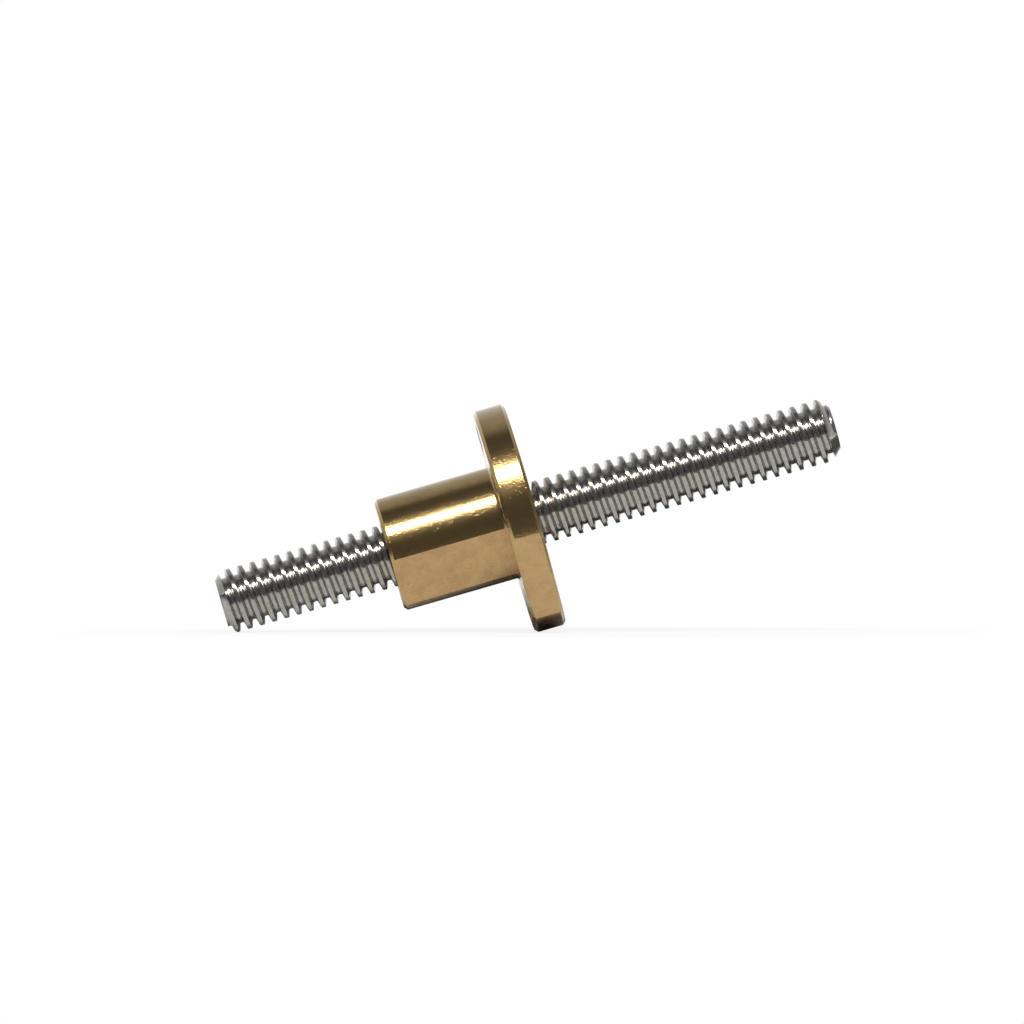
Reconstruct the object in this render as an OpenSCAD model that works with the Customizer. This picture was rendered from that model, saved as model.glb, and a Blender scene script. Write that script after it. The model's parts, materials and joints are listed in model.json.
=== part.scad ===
// Trapezoidal lead screw with a flanged brass nut on it.
// Each piece is drawn upright on the screw's axis, from the screw's low end at z = 0.
// rest_pose() then lays the pair down as it rests: on the flange's rim and the low end.

/* [Thread] */
// Diameter over the crests of the screw
thread_d = 10; // [8:0.5:12]
// Advance of the nut in one turn
pitch = 2; // [1.5:0.25:3]
// Angle of each flank to a plane square to the axis
flank_angle = 15; // [10:1:20]
// Radial room between each crest and the root that faces it
crest_room = 0.25; // [0.15:0.05:0.4]
// Axial play between the two threads
thread_play = 0.12; // [0.08:0.02:0.3]
// Flat sides in one turn of the thread
thread_sides = 22; // [16:2:32]
// Distance from the low chamfer to the middle of the first crest, straight under the axis
first_crest = 0.1; // [0:0.05:0.2]

/* [Lead screw] */
// Length of the rod
screw_l = 100; // [80:1:200]
// Chamfer on the low end of the rod
low_chamfer = 1.2; // [0.6:0.1:2]
// Chamfer on the high end of the rod
high_chamfer = 1.6; // [0.6:0.1:2]
// Distance of the nut from the rod's low end
nut_place = 27.3; // [10:0.1:40]

/* [Nut body] */
// Diameter of the body
body_d = 18; // [17:0.5:24]
// Length of the body, up to the flange
body_l = 18.7; // [12:0.1:30]
// Distance of the body's flat from the axis
body_flat = 7.8; // [7:0.1:8.4]
// Chamfer on the outer edges of body and flange
edge_chamfer = 0.5; // [0.2:0.1:0.8]
// Bevel on the edges of the flats, as a share of that chamfer
bevel_share = 0.8; // [0.5:0.05:0.9]
// Fillet in the corner between body and flange
corner_fillet = 0.5; // [0.2:0.1:1]
// Chamfer on the mouths of the nut's thread
mouth_chamfer = 0.3; // [0.1:0.1:0.5]

/* [Flange] */
// Diameter of the flange
flange_d = 36; // [34:0.5:44]
// Thickness of the flange
flange_t = 5; // [3:0.25:8]
// Distance of the flange's flat from the axis
flange_flat = 16.3; // [15:0.1:16.9]
// Direction that both flats face, turned from straight down
flat_turn = -55; // [-90:1:-50]
// Number of holes for the fixing screws
hole_count = 4; // [3:1:6]
// Diameter of each hole
hole_d = 4.5; // [3.4:0.1:5]
// Chamfer on the mouths of the holes
hole_chamfer = 0.3; // [0.1:0.1:0.5]

/* [Hidden] */
$fn = 96;

// How far a cutting solid runs past the face that it opens on
overrun = 1;

// Radii of the two threads, which share one pitch line
thread_r = thread_d / 2;
pitch_r = thread_r - pitch / 4;
screw_root_r = thread_r - pitch / 2 - crest_room;
nut_crest_r = screw_root_r + crest_room;
nut_root_r = thread_r + crest_room;

body_r = body_d / 2;
flange_r = flange_d / 2;
bevel = bevel_share * edge_chamfer;
nut_l = body_l + flange_t;
mouth_r = nut_root_r + mouth_chamfer;
mouth_depth = mouth_r - nut_crest_r + overrun;
hole_circle_r = (body_r + flange_r) / 2;
hole_turn = 180 / hole_count;

// At rest the flange's lower edge is level with the screw's lowest crest
flange_edge = nut_place + body_l + edge_chamfer;
lean = atan((flange_r - thread_r) / (flange_edge - low_chamfer));
rest_height = thread_r * cos(lean) - low_chamfer * sin(lean);
left_reach = (thread_r - low_chamfer) * sin(lean);
right_reach = screw_l * cos(lean) + (thread_r - high_chamfer) * sin(lean);
rest_shift = (left_reach - right_reach) / 2;

// Half the width of a ridge at a radius
function ridge_half(r, play) = (pitch - play) / 4 - (r - pitch_r) * tan(flank_angle);

// One turn's outline as [radius, height], from the foot of the ridge below to this crest's edge
function ridge_outline(root_r, crest_r, play) = [
    [root_r, ridge_half(root_r, play) - pitch],
    [root_r, -ridge_half(root_r, play)],
    [crest_r, -ridge_half(crest_r, play)],
    [crest_r, ridge_half(crest_r, play)]
];

// A right-hand threaded rod that is whole between two heights
module threaded_rod(root_r, crest_r, play, low, high) {
    outline = ridge_outline(root_r, crest_r, play);
    rows = len(outline);
    crest = low_chamfer + first_crest;
    start = crest + (floor((low - crest) / pitch) - 1) * pitch;
    steps = (ceil((high - start) / pitch) + 1) * thread_sides;
    rise = pitch / thread_sides;
    low_tip = (steps + 1) * rows;
    high_tip = low_tip + 1;
    points = [
        for (i = [0 : steps], p = outline)
            let (turn = i * 360 / thread_sides)
            [p[0] * cos(turn), p[0] * sin(turn), start + p[1] + i * rise],
        [0, 0, start],
        [0, 0, start + steps * rise - pitch / 2]
    ];
    // The point that follows p round the outline, a turn later past the last one
    function after(p) = p % rows < rows - 1 ? p + 1 : p + 1 - rows + thread_sides * rows;
    whole = (steps - thread_sides) * rows;
    faces = [
        for (p = [0 : steps * rows - 1])
            if (p % rows < rows - 1 || p < whole)
                each [
                    [p, after(p), p + rows],
                    [after(p), after(p) + rows, p + rows]
                ],
        for (k = [0 : rows - 1]) [low_tip, after(k), k],
        for (i = [0 : thread_sides - 1]) [low_tip, i * rows, (i + 1) * rows],
        for (k = [0 : rows - 2]) [high_tip, steps * rows + k, steps * rows + k + 1],
        [high_tip, whole + rows - 1, steps * rows],
        for (i = [0 : thread_sides - 1])
            let (p = whole + rows - 1 + i * rows)
            [high_tip, p + rows, p]
    ];
    polyhedron(points = points, faces = faces, convexity = 10);
}

// Everything of the rod that the end cuts and chamfers leave
module screw_ends() {
    reach = thread_r + overrun;
    rotate_extrude()
        polygon([
            [0, 0],
            [thread_r - low_chamfer, 0],
            [reach, low_chamfer + overrun],
            [reach, screw_l - high_chamfer - overrun],
            [thread_r - high_chamfer, screw_l],
            [0, screw_l]
        ]);
}

module nut_blank() {
    rotate_extrude()
        polygon([
            [0, 0],
            [body_r - edge_chamfer, 0],
            [body_r, edge_chamfer],
            [body_r, body_l],
            [flange_r - edge_chamfer, body_l],
            [flange_r, body_l + edge_chamfer],
            [flange_r, nut_l - edge_chamfer],
            [flange_r - edge_chamfer, nut_l],
            [0, nut_l]
        ]);
    rotate_extrude()
        translate([body_r, body_l - corner_fillet])
        difference() {
            square(corner_fillet);
            translate([corner_fillet, 0]) circle(r = corner_fillet);
        }
}

// What a cutter takes off to leave a flat, with bevels where it runs out past the faces
module flat_cut(distance, low, high, low_bevel, high_bevel) {
    low_run = low_bevel > 0 ? overrun : 0;
    high_run = high_bevel > 0 ? overrun : 0;
    reach = flange_r + overrun;
    rotate([0, 0, flat_turn])
        rotate([90, 0, 0])
        linear_extrude(height = 2 * reach, center = true)
        polygon([
            [reach, low - low_run],
            [reach, high + high_run],
            [distance - high_bevel - high_run, high + high_run],
            [distance, high - high_bevel],
            [distance, low + low_bevel],
            [distance - low_bevel - low_run, low - low_run]
        ]);
}

// A cone that bevels a mouth of a given radius and depth, facing down at z = 0
module mouth(radius, depth) {
    translate([0, 0, -overrun])
        cylinder(r1 = radius + overrun, r2 = radius - depth, h = depth + overrun);
}

module flange_hole() {
    translate([0, 0, -overrun]) cylinder(d = hole_d, h = flange_t + 2 * overrun);
    mouth(hole_d / 2 + hole_chamfer, hole_chamfer);
    translate([0, 0, flange_t])
        mirror([0, 0, 1])
        mouth(hole_d / 2 + hole_chamfer, hole_chamfer);
}

module flange_holes() {
    for (i = [0 : hole_count - 1])
        rotate([0, 0, flat_turn + hole_turn + i * 360 / hole_count])
            translate([hole_circle_r, 0, body_l])
            flange_hole();
}

module rest_pose() {
    translate([rest_shift, 0, rest_height])
        rotate([0, 90 - lean, 0])
        children();
}

module lead_screw() {
    color("silver")
        rest_pose()
        intersection() {
            threaded_rod(screw_root_r, thread_r, thread_play, 0, screw_l);
            screw_ends();
        }
}

module flanged_nut() {
    color("goldenrod")
        rest_pose()
        difference() {
            translate([0, 0, nut_place])
                difference() {
                    nut_blank();
                    flat_cut(body_flat, 0, body_l, bevel, 0);
                    flat_cut(flange_flat, body_l, nut_l, bevel, bevel);
                    flange_holes();
                    mouth(mouth_r, mouth_depth);
                    translate([0, 0, nut_l]) mirror([0, 0, 1]) mouth(mouth_r, mouth_depth);
                }
            threaded_rod(nut_crest_r, nut_root_r, -thread_play, nut_place, nut_place + nut_l);
        }
}

lead_screw();
flanged_nut();
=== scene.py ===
import json
import math
import bpy
import bmesh
from mathutils import Matrix, Vector


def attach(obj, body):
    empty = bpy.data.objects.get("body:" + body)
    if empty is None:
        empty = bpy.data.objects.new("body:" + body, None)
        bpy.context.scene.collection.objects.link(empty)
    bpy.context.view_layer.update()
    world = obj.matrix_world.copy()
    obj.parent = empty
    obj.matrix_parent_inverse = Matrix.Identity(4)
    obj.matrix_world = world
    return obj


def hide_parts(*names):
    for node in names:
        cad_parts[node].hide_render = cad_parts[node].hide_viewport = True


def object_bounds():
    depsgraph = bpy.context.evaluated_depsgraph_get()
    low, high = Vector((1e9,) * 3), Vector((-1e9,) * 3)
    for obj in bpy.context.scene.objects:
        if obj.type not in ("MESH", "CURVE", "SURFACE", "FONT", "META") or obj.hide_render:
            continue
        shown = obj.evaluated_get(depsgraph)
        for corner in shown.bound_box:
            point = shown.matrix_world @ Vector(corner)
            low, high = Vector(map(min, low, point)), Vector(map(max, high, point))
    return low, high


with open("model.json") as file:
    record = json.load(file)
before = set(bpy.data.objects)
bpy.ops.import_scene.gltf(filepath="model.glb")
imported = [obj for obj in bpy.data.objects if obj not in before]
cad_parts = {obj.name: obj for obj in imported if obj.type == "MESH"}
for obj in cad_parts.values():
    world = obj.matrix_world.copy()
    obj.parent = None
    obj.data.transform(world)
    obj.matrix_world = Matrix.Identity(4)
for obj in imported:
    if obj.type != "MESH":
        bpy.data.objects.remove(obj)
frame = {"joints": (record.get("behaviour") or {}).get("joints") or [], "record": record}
cadLow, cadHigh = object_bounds()
print("frame loaded")

mm = 0.001
overrun = 1 * mm  # how far a cutting solid runs past the faces that it opens


# sRGB hex to the linear colour that shaders use
def linear(hexCode):
    parts = [int(hexCode[i:i + 2], 16) / 255 for i in (1, 3, 5)]
    return tuple(p / 12.92 if p <= 0.04045 else ((p + 0.055) / 1.055) ** 2.4 for p in parts) + (1,)


# adds one node: its settings, the plain values of its sockets, and what feeds them
# a node given as a source stands for its first output
def addNode(tree, kind, settings={}, values={}, links={}):
    node = tree.nodes.new("ShaderNode" + kind)
    for name, value in settings.items():
        setattr(node, name, value)
    for socket, value in values.items():
        node.inputs[socket].default_value = value
    for socket, source in links.items():
        output = source.outputs[0] if isinstance(source, bpy.types.Node) else source
        tree.links.new(output, node.inputs[socket])
    return node


# the values that turn a span into what it gives at its two ends
def fromTo(span, low=0, high=1):
    return {"From Min": span[0], "From Max": span[1], "To Min": low, "To Max": high}


soft = {"interpolation_type": "SMOOTHSTEP"}
patchy = (0.35, 0.65)  # the span of a noise that leaves clear patches
gentle = (0.3, 0.7)  # and the one that lets it drift


def newMaterial(name):
    material = bpy.data.materials.new(name)
    material.use_nodes = True
    material.node_tree.nodes.clear()
    return material, material.node_tree


# the rod and its trapezoidal thread; play and crest room are what the nut's thread leaves round it
rod = {
    "length": 100 * mm,
    "lowChamfer": 1.2 * mm,
    "highChamfer": 1.6 * mm,
    "crestRadius": 5 * mm,
    "rootRadius": 3.75 * mm,
    "pitchRadius": 4.5 * mm,
    "pitch": 2 * mm,
    "flankAngle": 15,  # degrees
    "firstCrest": 1.3 * mm,
    "crestRounding": 0.15 * mm,
    "rootRounding": 0.2 * mm,
    "play": 0.12 * mm,
    "crestRoom": 0.25 * mm,
    "stepsPerTurn": 72,
    "arcSteps": 3,
    "blankSides": 144,
    "sharpFrom": 40,  # degrees; edges below this are shaded smooth
}

# the rod's own frame: origin at the middle of its low end, z along it, x straight down
travel = next(joint for joint in frame["joints"] if joint["name"] == "nut_travel")
highEnd = next(mount for mount in frame["record"]["mounts"] if mount["name"] == "screw_high_end")
along = Vector(travel["axis"]).normalized()
across = Vector((0, 1, 0))
down = across.cross(along)
lowEnd = Vector(highEnd["pos_m"]) - rod["length"] * along
rodFrame = Matrix.Translation(lowEnd) @ Matrix((down, across, along)).transposed().to_4x4()


# gives a material places in the rod's own frame, so that its marks run round and along the rod
def rodPlace(tree):
    return addNode(
        tree, "Mapping", {"vector_type": "TEXTURE"},
        {"Location": lowEnd, "Rotation": rodFrame.to_euler()},
        {"Vector": addNode(tree, "TexCoord").outputs["Object"]},
    )


# swaps each inner corner of a line of 2D points for an arc that touches both of its sides
def roundCorners(points, radii, steps):
    rounded = [points[0]]
    for i in range(1, len(points) - 1):
        if radii[i] == 0:
            rounded.append(points[i])
            continue
        here = Vector(points[i])
        back = (Vector(points[i - 1]) - here).normalized()
        ahead = (Vector(points[i + 1]) - here).normalized()
        half = back.angle(ahead) / 2
        centre = here + (back + ahead).normalized() * radii[i] / math.sin(half)
        start = (here + back * radii[i] / math.tan(half) - centre).normalized()
        end = (here + ahead * radii[i] / math.tan(half) - centre).normalized()
        for k in range(steps + 1):
            rounded.append(tuple(centre + radii[i] * start.slerp(end, k / steps)))
    return rounded + [points[-1]]


# half the width of a thread's ridge at a radius
def ridgeHalf(thread, radius):
    slope = math.tan(math.radians(thread["flankAngle"]))
    return (thread["pitch"] - thread["play"]) / 4 - (radius - thread["pitchRadius"]) * slope


# one pitch of a thread's outline as (height, radius), from root to root over the crest
def ridgeOutline(thread):
    crest, root, reach = thread["crestRadius"], thread["rootRadius"], thread["pitch"] / 2
    top, foot = ridgeHalf(thread, crest), ridgeHalf(thread, root)
    corners = [(-reach, root), (-foot, root), (-top, crest), (top, crest), (foot, root), (reach, root)]
    atCrest, atRoot = thread["crestRounding"], thread["rootRounding"]
    return roundCorners(corners, [0, atRoot, atCrest, atCrest, atRoot, 0], thread["arcSteps"])[:-1]


def finishMesh(name, bm):
    bmesh.ops.recalc_face_normals(bm, faces=bm.faces)
    mesh = bpy.data.meshes.new(name)
    bm.to_mesh(mesh)
    bm.free()
    piece = bpy.data.objects.new(name, mesh)
    bpy.context.scene.collection.objects.link(piece)
    return piece


# a closed right-hand threaded bar that is whole between two heights
def threadedBar(name, thread, low, high):
    outline, steps, pitch = ridgeOutline(thread), thread["stepsPerTurn"], thread["pitch"]
    first = math.floor((low - thread["firstCrest"]) / pitch) - 1
    turns = math.ceil((high - thread["firstCrest"]) / pitch) + 1 - first
    bm = bmesh.new()
    columns = []
    for j in range(steps):
        turn = 2 * math.pi * j / steps
        rise = thread["firstCrest"] + (first + j / steps) * pitch
        columns.append([
            bm.verts.new((r * math.cos(turn), r * math.sin(turn), rise + t * pitch + h))
            for t in range(turns) for h, r in outline
        ])
    for j in range(steps):
        shift = 0 if j < steps - 1 else len(outline)  # the last column meets the first, a pitch further on
        here, after = columns[j], columns[(j + 1) % steps]
        for i in range(len(here) - 1 - shift):
            bm.faces.new((here[i], after[i + shift], after[i + shift + 1], here[i + 1]))
    openEdges = [edge for edge in bm.edges if edge.is_boundary]
    middle = thread["firstCrest"] + (first + turns / 2) * pitch
    for side in (-1, 1):
        rim = [edge for edge in openEdges if (edge.verts[0].co.z - middle) * side > 0]
        tip = bm.verts.new((0, 0, sum(edge.verts[0].co.z for edge in rim) / len(rim)))
        for edge in rim:
            bm.faces.new((edge.verts[0], edge.verts[1], tip))
    return finishMesh(name, bm)


# turns a line of (height, radius) points round the rod's axis, and may then move the solid aside
def turnedSolid(name, points, steps, place=Matrix()):
    bm = bmesh.new()
    rings = []
    for h, r in points:
        if r == 0:
            rings.append([bm.verts.new((0, 0, h))] * steps)
        else:
            turns = [2 * math.pi * (j + 0.5) / steps for j in range(steps)]
            rings.append([bm.verts.new((r * math.cos(turn), r * math.sin(turn), h)) for turn in turns])
    for low, high in zip(rings, rings[1:]):
        for j in range(steps):
            corners = dict.fromkeys((low[j], low[(j + 1) % steps], high[(j + 1) % steps], high[j]))
            bm.faces.new(tuple(corners))
    bm.transform(place)
    return finishMesh(name, bm)


# pushes an outline of (x, z) points through the rod's frame along y, and may then turn the solid
def pushedSolid(name, points, reach, place=Matrix()):
    bm = bmesh.new()
    near, far = ([bm.verts.new((x, y, z)) for x, z in points] for y in (-reach, reach))
    bm.faces.new(near)
    bm.faces.new(far)
    for j in range(len(points)):
        k = (j + 1) % len(points)
        bm.faces.new((near[j], near[k], far[k], far[j]))
    bm.transform(place)
    return finishMesh(name, bm)


# cuts or trims a piece with other closed solids, which are then gone
def combine(piece, operation, *tools):
    for tool in tools:
        step = piece.modifiers.new("step", "BOOLEAN")
        step.operation, step.solver, step.object = operation, "MANIFOLD", tool
        shaped = piece.evaluated_get(bpy.context.evaluated_depsgraph_get())
        solid = bpy.data.meshes.new_from_object(shaped)
        piece.modifiers.clear()
        piece.data = solid
        bpy.data.objects.remove(tool)


# shades a piece smooth except over its real edges, gives it its material and hands it to the frame
def dress(piece, material, node, body, sharpFrom):
    piece.data.materials.clear()
    piece.data.materials.append(material)
    piece.data.shade_smooth()
    piece.data.set_sharp_from_angle(angle=math.radians(sharpFrom))
    piece.data.transform(rodFrame)
    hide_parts(node)
    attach(piece, body)


alongShare = 0.7  # under 1, so that marks also cross a 45 degree chamfer


# places for marks that run round the rod: a short way round it, and the full way out and along across them
def ringPlace(tree, wayRound):
    split = addNode(tree, "SeparateXYZ", links={0: rodPlace(tree)})
    flat = addNode(tree, "CombineXYZ", links={"X": split.outputs["X"], "Y": split.outputs["Y"]})
    radius = addNode(tree, "VectorMath", {"operation": "LENGTH"}, links={0: flat})
    around = addNode(tree, "VectorMath", {"operation": "NORMALIZE"}, links={0: flat})
    crossing = addNode(
        tree, "Math", {"operation": "MULTIPLY_ADD"},
        {1: alongShare}, {0: split.outputs["Z"], 2: radius.outputs["Value"]},
    )
    step = addNode(tree, "CombineXYZ", links={"Z": crossing})
    return addNode(
        tree, "VectorMath", {"operation": "MULTIPLY_ADD"},
        {1: (wayRound, wayRound, 0)}, {0: around, 2: step},
    )


# a bare metal under a thin film of oil: its colour, its roughness and the height of its marks
def oiledMetal(tree, film, colour, rough, height, depth):
    bump = addNode(tree, "Bump", values={"Strength": 1, "Distance": depth}, links={"Height": height})
    shader = addNode(
        tree, "BsdfPrincipled",
        values={"Metallic": 1, "Coat Weight": film["weight"], "Coat Roughness": film["roughness"]},
        links={"Base Color": colour.outputs[2], "Roughness": rough, "Normal": bump},
    )
    addNode(tree, "OutputMaterial", links={"Surface": shader})


# rolled stainless steel: the rollers leave it smooth and bright, with faint streaks that run round the
# thread, and a film of oil dulls it a little
steel = {
    "bright": "#C0BCB6",
    "dull": "#A8A49E",
    "roughness": (0.08, 0.16),
    "film": {"weight": 1, "roughness": 0.42},
    "streak": 0.25 * mm,  # real ones are a few hundredths, too fine to show
    "streakDepth": 0.006 * mm,
    "wayRound": 1.2 * mm,  # the shorter, the longer the streaks
    "grain": 0.5 * mm,
}


def rolledSteel():
    material, tree = newMaterial("rolledStainlessSteel")
    streaks = addNode(
        tree, "TexNoise", values={"Scale": 1 / steel["streak"], "Detail": 2},
        links={"Vector": ringPlace(tree, steel["wayRound"])},
    )
    grain = addNode(
        tree, "TexNoise", values={"Scale": 1 / steel["grain"], "Detail": 5, "Roughness": 0.6},
        links={"Vector": rodPlace(tree)},
    )
    tone = addNode(tree, "MapRange", values=fromTo(patchy), links={"Value": grain})
    colour = addNode(
        tree, "Mix", {"data_type": "RGBA"},
        {6: linear(steel["bright"]), 7: linear(steel["dull"])}, {0: tone},
    )
    rough = addNode(tree, "MapRange", values=fromTo(gentle, *steel["roughness"]), links={"Value": grain})
    oiledMetal(tree, steel["film"], colour, rough, streaks, steel["streakDepth"])
    return material


# what the end cuts and chamfers leave of the rod
def rodBlank():
    reach = rod["crestRadius"] + overrun
    return turnedSolid("rodBlank", [
        (0, 0),
        (0, rod["crestRadius"] - rod["lowChamfer"]),
        (rod["lowChamfer"] + overrun, reach),
        (rod["length"] - rod["highChamfer"] - overrun, reach),
        (rod["length"], rod["crestRadius"] - rod["highChamfer"]),
        (rod["length"], 0),
    ], rod["blankSides"])


screw = threadedBar("leadScrew", rod, 0, rod["length"])
combine(screw, "INTERSECT", rodBlank())
dress(screw, rolledSteel(), "lead_screw", "screw", rod["sharpFrom"])
print("screw made:", len(screw.data.polygons), "faces")

# brass: a lathe's fine rings spread the light in streaks round the turned faces, and the milled flats are
# duller; both have small pits, handling has stained them in soft patches, and a thin film of oil puts a pale
# haze round the glints
brass = {
    "turned": {"tones": ("#CCAD6C", "#BE9A60"), "roughness": (0.12, 0.21), "markDepth": 0.014 * mm},
    "milled": {"tones": ("#CFAD76", "#C49C6C"), "roughness": (0.22, 0.31), "markDepth": 0.006 * mm},
    "film": {"weight": 1, "roughness": 0.2},
    "ring": 0.3 * mm,  # a real feed is about 0.1, too fine to show
    "wayRound": 1.5 * mm,  # the shorter, the longer the rings' streaks
    "passSqueeze": 0.2,  # the lower, the longer the cutter's passes
    "patch": 2.5 * mm,
    "waviness": 1.5,
    "grain": 0.3 * mm,
    "grainWeight": 1.8,
    "pit": "#8C744B",
    "pitSpacing": 0.5 * mm,
    "pitSize": 0.1,  # of the spacing
    "pitDepth": 0.65,
    "pitStain": 0.5,
}


# rings round the axis on every turned face
def ringMarks(tree):
    return ringPlace(tree, brass["wayRound"])


# faint passes of the cutter along the flats
def millMarks(tree):
    squeeze = (1, 1, brass["passSqueeze"])
    return addNode(tree, "Mapping", values={"Scale": squeeze}, links={"Vector": rodPlace(tree)})


def brassFinish(name, finish, marks):
    material, tree = newMaterial(name)
    place = rodPlace(tree)
    lines = addNode(
        tree, "TexNoise", values={"Scale": 1 / brass["ring"], "Detail": 3, "Roughness": 0.55},
        links={"Vector": marks(tree)},
    )
    patches = addNode(
        tree, "TexNoise", values={"Scale": 1 / brass["patch"], "Detail": 4, "Roughness": 0.65},
        links={"Vector": place},
    )
    grain = addNode(
        tree, "TexNoise", values={"Scale": 1 / brass["grain"], "Detail": 3}, links={"Vector": place},
    )
    pits = addNode(tree, "TexVoronoi", values={"Scale": 1 / brass["pitSpacing"]}, links={"Vector": place})
    pitEdge = (brass["pitSize"], 2 * brass["pitSize"])
    pitted = addNode(
        tree, "MapRange", values=fromTo(pitEdge, 1, 0), links={"Value": pits.outputs["Distance"]},
    )

    stain = addNode(tree, "MapRange", values=fromTo(patchy), links={"Value": patches})
    tones = {6: linear(finish["tones"][0]), 7: linear(finish["tones"][1])}
    clean = addNode(tree, "Mix", {"data_type": "RGBA"}, tones, {0: stain})
    dark = addNode(tree, "Math", {"operation": "MULTIPLY"}, {1: brass["pitStain"]}, {0: pitted})
    colour = addNode(
        tree, "Mix", {"data_type": "RGBA"}, {7: linear(brass["pit"])}, {0: dark, 6: clean.outputs[2]},
    )
    rough = addNode(
        tree, "MapRange", values=fromTo(gentle, *finish["roughness"]), links={"Value": patches},
    )

    # the surface's height: the marks, with soft waves and grain added and the pits taken off
    layers = [(patches, brass["waviness"]), (grain, brass["grainWeight"]), (pitted, -brass["pitDepth"])]
    height = lines
    for layer, weight in layers:
        height = addNode(tree, "Math", {"operation": "MULTIPLY_ADD"}, {1: weight}, {0: layer, 2: height})
    oiledMetal(tree, brass["film"], colour, rough, height, finish["markDepth"])
    return material


# the nut: a turned body and flange with a milled flat on each, holes for its screws, and a tapped thread
nut = {
    "place": 27.3 * mm,  # of its low end, along the rod
    "bodyRadius": 9 * mm,
    "bodyLength": 18.7 * mm,
    "bodyFlat": 7.8 * mm,
    "flangeRadius": 18 * mm,
    "flangeThickness": 5 * mm,
    "flangeFlat": 16.3 * mm,
    "flatTurn": -55,  # degrees from straight down
    "flatFacing": 0.9999,  # faces as square as this to the flats' direction are the flats
    "flatBevel": 0.4 * mm,
    "chamfer": 0.5 * mm,
    "cornerFillet": 0.5 * mm,
    "filletSteps": 5,
    "sides": 192,
    "holes": 4,
    "holeCircle": 13.5 * mm,
    "holeRadius": 2.25 * mm,
    "holeChamfer": 0.3 * mm,
    "holeSides": 64,
    "mouthChamfer": 0.3 * mm,
    "mouthSides": 144,
    "threadRounding": 0.1 * mm,
    "threadArcSteps": 2,
    "sharpFrom": 28,
}
# the thread that the tap cuts: the rod's, grown by the play and the crest room
tapThread = {
    **rod,
    "crestRadius": rod["crestRadius"] + rod["crestRoom"],
    "rootRadius": rod["rootRadius"] + rod["crestRoom"],
    "play": -rod["play"],
    "crestRounding": nut["threadRounding"],
    "rootRounding": nut["threadRounding"],
    "arcSteps": nut["threadArcSteps"],
}
nutLow = nut["place"]
nutSeat = nutLow + nut["bodyLength"]
nutTop = nutSeat + nut["flangeThickness"]
flatTurn = math.radians(nut["flatTurn"])


def nutBlank():
    body, flange, chamfer = nut["bodyRadius"], nut["flangeRadius"], nut["chamfer"]
    outline = [
        (nutLow, 0),
        (nutLow, body - chamfer),
        (nutLow + chamfer, body),
        (nutSeat, body),
        (nutSeat, flange - chamfer),
        (nutSeat + chamfer, flange),
        (nutTop - chamfer, flange),
        (nutTop, flange - chamfer),
        (nutTop, 0),
    ]
    roundings = [0, 0, 0, nut["cornerFillet"], 0, 0, 0, 0, 0]
    return turnedSolid("flangedNut", roundCorners(outline, roundings, nut["filletSteps"]), nut["sides"])


# what a cutter takes off to leave a flat, with a bevel at each end where it runs out past a face
def flatCutter(flat, low, high, lowBevel, highBevel):
    far = nut["flangeRadius"] + overrun
    lowRun = overrun if lowBevel else 0
    highRun = overrun if highBevel else 0
    return pushedSolid("flatCutter", [
        (far, low - lowRun),
        (far, high + highRun),
        (flat - highBevel - highRun, high + highRun),
        (flat, high - highBevel),
        (flat, low + lowBevel),
        (flat - lowBevel - lowRun, low - lowRun),
    ], far, Matrix.Rotation(flatTurn, 4, "Z"))


# the drill for one hole of the flange, which also chamfers both mouths
def flangeDrill(number):
    angle = flatTurn + (number + 0.5) * 2 * math.pi / nut["holes"]
    aside = Vector((math.cos(angle), math.sin(angle), 0)) * nut["holeCircle"]
    radius, chamfer = nut["holeRadius"], nut["holeChamfer"]
    return turnedSolid("drill", [
        (nutSeat - overrun, 0),
        (nutSeat - overrun, radius + chamfer + overrun),
        (nutSeat + chamfer, radius),
        (nutTop - chamfer, radius),
        (nutTop + overrun, radius + chamfer + overrun),
        (nutTop + overrun, 0),
    ], nut["holeSides"], Matrix.Translation(aside))


# a cone that chamfers one mouth of the nut's thread; inward is 1 at the low end and -1 at the high one
def mouthCone(end, inward):
    mouth = tapThread["crestRadius"] + nut["mouthChamfer"]
    bore = tapThread["rootRadius"] - overrun
    depth = mouth - bore
    return turnedSolid("mouthCone", [
        (end - inward * overrun, 0),
        (end - inward * overrun, mouth + overrun),
        (end + inward * depth, bore),
        (end + inward * depth, 0),
    ], nut["mouthSides"])


def flangedNut():
    piece, bevel = nutBlank(), nut["flatBevel"]
    combine(piece, "DIFFERENCE", flatCutter(nut["bodyFlat"], nutLow, nutSeat, bevel, 0))
    combine(piece, "DIFFERENCE", flatCutter(nut["flangeFlat"], nutSeat, nutTop, bevel, bevel))
    for number in range(nut["holes"]):
        combine(piece, "DIFFERENCE", flangeDrill(number))
    tap = threadedBar("tap", tapThread, nutLow, nutTop)
    combine(piece, "DIFFERENCE", tap, mouthCone(nutLow, 1), mouthCone(nutTop, -1))
    return piece


flanged = flangedNut()
toFlats = Vector((math.cos(flatTurn), math.sin(flatTurn), 0))
flats = [face for face in flanged.data.polygons if face.normal.dot(toFlats) > nut["flatFacing"]]
turnedBrass = brassFinish("turnedBrass", brass["turned"], ringMarks)
dress(flanged, turnedBrass, "flanged_nut", "nut", nut["sharpFrom"])
flanged.data.materials.append(brassFinish("milledBrass", brass["milled"], millMarks))
for face in flats:
    face.material_index = 1
print("nut made:", len(flanged.data.polygons), "faces")

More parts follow.
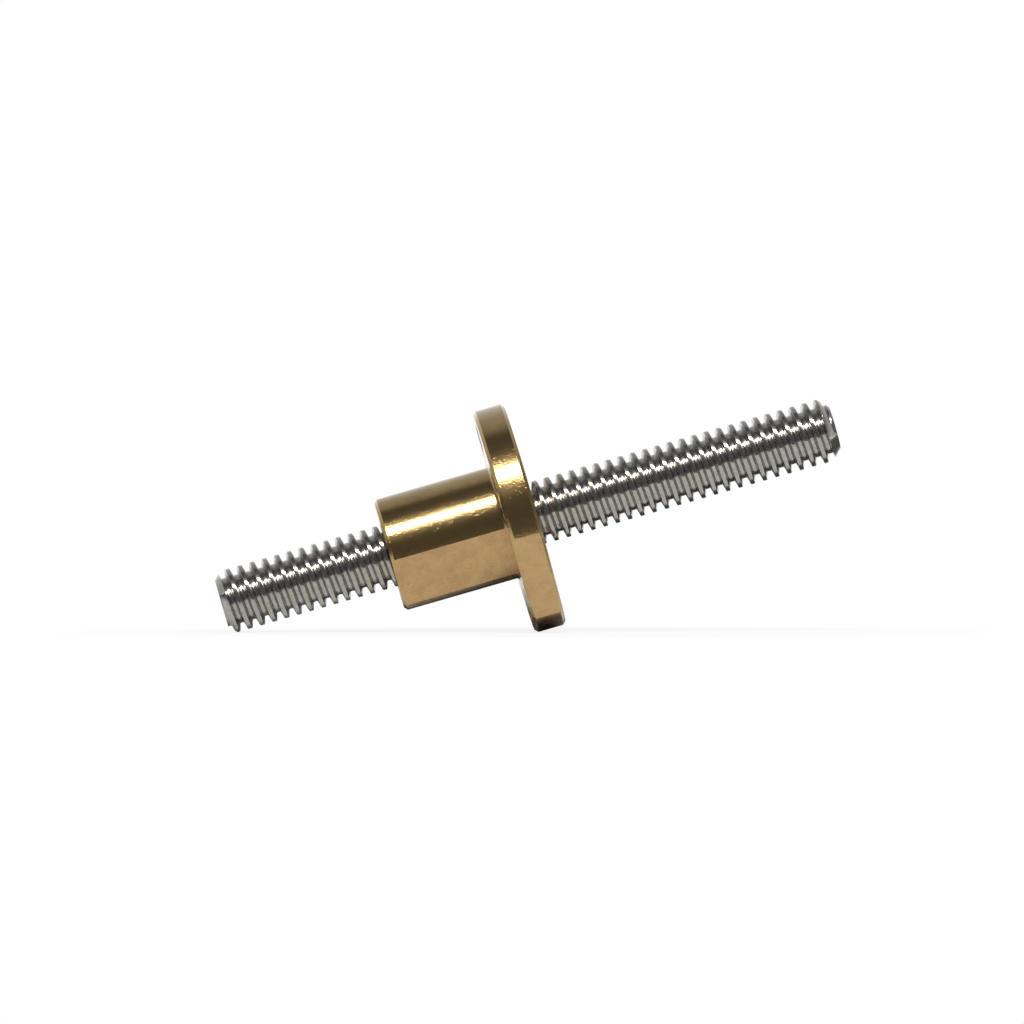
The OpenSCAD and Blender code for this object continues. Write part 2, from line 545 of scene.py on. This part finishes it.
# pale floor under the rest pose: the camera sees it white, with the object's shadow on it, and metal mirrors
# that white where it lies well behind; nearer by, metal mirrors the plain colour, and a painted shade, a
# dark grey put in the colour for all but camera rays: in front of a slanted edge, from the rod back as a
# painted shadow, and close under the flange's rim as a painted contact shadow
ground = {
    "size": 6,
    "gap": 0.02 * mm,  # keeps it clear of the part
    "colour": "#E9E9E8",
    # painted shade: the dark grey that rays other than the camera's see on parts of the floor
    "paintedShade": "#555555",
    "edgeFacing": (-0.63, -0.777, 0),  # the slanted edge's outward direction
    "frontEdge": (38 * mm, 54 * mm),
    "backEdge": (3 * mm, 14 * mm),
    "contactReach": (6.5 * mm, 9 * mm),
    # how dark the painted contact shadow under the rim gets
    "paintedContactShade": 0.85,
    "shadowShare": 0.14,  # how much of the floor's own light shows near the object
    "shadowReach": (26 * mm, 54 * mm),
    "shadowSqueeze": (0.6, 1, 1),  # reaches further along the rod
    "backdropEdge": (0.06, 0.2),
}
# where the flange's rim stands on the floor, the centre of the painted contact shadow
rimContact = rodFrame @ Vector((nut["flangeRadius"], 0, nutSeat + nut["chamfer"]))


# 1 on rays that metal or glass sends on, which see the white backdrop as the camera does
def mirroredRays(tree, ray):
    return addNode(
        tree, "Math", {"operation": "ADD"},
        links={0: ray.outputs["Is Glossy Ray"], 1: ray.outputs["Is Transmission Ray"]},
    )


def paleFloor():
    material, tree = newMaterial("paleFloor")
    place = addNode(tree, "TexCoord").outputs["Object"]
    split = addNode(tree, "SeparateXYZ", links={0: place})
    ray = addNode(tree, "LightPath")

    outward = addNode(
        tree, "VectorMath", {"operation": "DOT_PRODUCT"}, {1: ground["edgeFacing"]}, {0: place},
    )
    # painted shade on the floor in front of the slanted edge
    paintedShadeFront = addNode(
        tree, "MapRange", soft, fromTo(ground["frontEdge"]), {"Value": outward.outputs["Value"]},
    )
    # painted shadow on the floor from the rod back
    paintedShadowBehind = addNode(tree, "MapRange", soft, fromTo(ground["backEdge"]), {"Value": split.outputs["Y"]})
    nearRim = addNode(tree, "VectorMath", {"operation": "DISTANCE"}, {1: rimContact}, {0: place})
    # painted contact shadow round where the rim stands
    paintedRimShadow = addNode(
        tree, "MapRange", soft, fromTo(ground["contactReach"], ground["paintedContactShade"], 0),
        {"Value": nearRim.outputs["Value"]},
    )
    paintedShadeFrontBack = addNode(tree, "Math", {"operation": "MAXIMUM"}, links={0: paintedShadeFront, 1: paintedShadowBehind})
    paintedShadeMix = addNode(tree, "Math", {"operation": "MAXIMUM"}, links={0: paintedShadeFrontBack, 1: paintedRimShadow})
    # the painted shade and painted shadows together, hidden from camera rays
    paintedShadeMask = addNode(
        tree, "Math", {"operation": "SUBTRACT", "use_clamp": True},
        links={0: paintedShadeMix, 1: ray.outputs["Is Camera Ray"]},
    )
    colour = addNode(
        tree, "Mix", {"data_type": "RGBA"},
        {6: linear(ground["colour"]), 7: linear(ground["paintedShade"])}, {0: paintedShadeMask},
    )

    # the share of plain white: less of it near the object, where its shadow lies
    squeezed = addNode(
        tree, "VectorMath", {"operation": "MULTIPLY"}, {1: ground["shadowSqueeze"]}, {0: place},
    )
    away = addNode(tree, "VectorMath", {"operation": "LENGTH"}, links={0: squeezed})
    white = addNode(
        tree, "MapRange", soft, fromTo(ground["shadowReach"], 1 - ground["shadowShare"]),
        {"Value": away.outputs["Value"]},
    )
    backdrop = addNode(
        tree, "MapRange", soft, fromTo(ground["backdropEdge"]), {"Value": split.outputs["Y"]},
    )
    mirrored = addNode(
        tree, "Math", {"operation": "MULTIPLY"}, links={0: mirroredRays(tree, ray), 1: backdrop},
    )
    share = addNode(
        tree, "Math", {"operation": "MULTIPLY_ADD"},
        links={0: ray.outputs["Is Camera Ray"], 1: white, 2: mirrored},
    )
    matt = addNode(tree, "BsdfDiffuse", links={"Color": colour.outputs[2]})
    glow = addNode(tree, "Emission", values={"Color": (1, 1, 1, 1), "Strength": 1})
    both = addNode(tree, "MixShader", links={0: share, 1: matt, 2: glow})
    addNode(tree, "OutputMaterial", links={"Surface": both})
    return material


floorMesh = bpy.data.meshes.new("floor")
half = ground["size"] / 2
floorCorners = [(-half, -half, 0), (half, -half, 0), (half, half, 0), (-half, half, 0)]
floorMesh.from_pydata(floorCorners, [], [(0, 1, 2, 3)])
floor = bpy.data.objects.new("floor", floorMesh)
bpy.context.scene.collection.objects.link(floor)
floor.location.z = cadLow.z - ground["gap"]
floorMesh.materials.append(paleFloor())
print("floor laid")

# the room that the metal mirrors: its brightness at each angle in degrees, up from the camera's side, over
# the top and down behind, where it goes over into the white backdrop
room = {
    "bands": [
        (0, 0.09), (24, 0.08), (34, 0.23), (62, 0.27), (72, 0.09),
        (98, 0.08), (108, 0.32), (132, 0.42), (150, 0.55), (170, 0.75),
    ],
    "backdropEdge": (162, 174.6),
}


def studioRoom():
    world = bpy.data.worlds.new("studio")
    world.use_nodes = True
    tree = world.node_tree
    tree.nodes.clear()
    split = addNode(tree, "SeparateXYZ", links={0: addNode(tree, "TexCoord").outputs["Generated"]})
    toward = addNode(tree, "Math", {"operation": "MULTIPLY"}, {1: -1}, {0: split.outputs["Y"]})
    angle = addNode(tree, "Math", {"operation": "ARCTAN2"}, links={0: split.outputs["Z"], 1: toward})
    share = addNode(tree, "Math", {"operation": "DIVIDE"}, {1: math.pi}, {0: angle})
    bands = addNode(tree, "ValToRGB", links={0: share})
    elements = bands.color_ramp.elements
    elements.remove(elements[1])
    for i, (degrees, level) in enumerate(room["bands"]):
        stop = elements[0] if i == 0 else elements.new(degrees / 180)
        stop.position = degrees / 180
        stop.color = (level, level, level, 1)
    edge = [degrees / 180 for degrees in room["backdropEdge"]]
    backdrop = addNode(tree, "MapRange", soft, fromTo(edge), {"Value": share})
    ray = addNode(tree, "LightPath")
    seen = addNode(
        tree, "Math", {"operation": "MULTIPLY_ADD"},
        links={0: mirroredRays(tree, ray), 1: backdrop, 2: ray.outputs["Is Camera Ray"]},
    )
    light = addNode(tree, "Background", links={"Color": bands})
    white = addNode(tree, "Background", values={"Color": (1, 1, 1, 1)})
    both = addNode(tree, "MixShader", links={0: seen, 1: light, 2: white})
    addNode(tree, "OutputWorld", links={"Surface": both})
    return world


bpy.context.scene.world = studioRoom()
centre = (cadLow + cadHigh) / 2

# a long soft lamp that hangs over the camera's side, in line with the rod
softbox = {
    "elevation": 48,
    "distance": 0.8,
    "size": (1.2, 0.16),
    "power": 7.5,
}
lamp = bpy.data.lights.new("softbox", "AREA")
lamp.shape, lamp.size, lamp.size_y = "RECTANGLE", *softbox["size"]
lamp.energy = softbox["power"]
lampObject = bpy.data.objects.new("softbox", lamp)
bpy.context.scene.collection.objects.link(lampObject)
lift = math.radians(softbox["elevation"])
toLamp = Vector((0, -math.cos(lift), math.sin(lift)))
lampObject.location = centre + toLamp * softbox["distance"]
lampObject.rotation_euler = toLamp.to_track_quat("Z", "Y").to_euler()
print("room and lamp set")

view = {
    "yaw": -1.5,
    "pitch": 0.6,
    "width": 160.5 * mm,
    "lens": 400,
    "sensor": 36,
    "aim": (-2.5 * mm, 0, 0.6 * mm),
    "clip": (0.01, 20),
}
cameraData = bpy.data.cameras.new("camera")
cameraData.lens, cameraData.sensor_width = view["lens"], view["sensor"]
cameraData.clip_start, cameraData.clip_end = view["clip"]
camera = bpy.data.objects.new("camera", cameraData)
bpy.context.scene.collection.objects.link(camera)
yaw, pitch = math.radians(view["yaw"]), math.radians(view["pitch"])
back = Vector((math.sin(yaw) * math.cos(pitch), -math.cos(yaw) * math.cos(pitch), math.sin(pitch)))
camera.location = centre + Vector(view["aim"]) + back * view["width"] * view["lens"] / view["sensor"]
camera.rotation_euler = back.to_track_quat("Z", "Y").to_euler()
bpy.context.scene.camera = camera
bpy.context.scene.view_settings.view_transform = "Standard"

print("scene done")
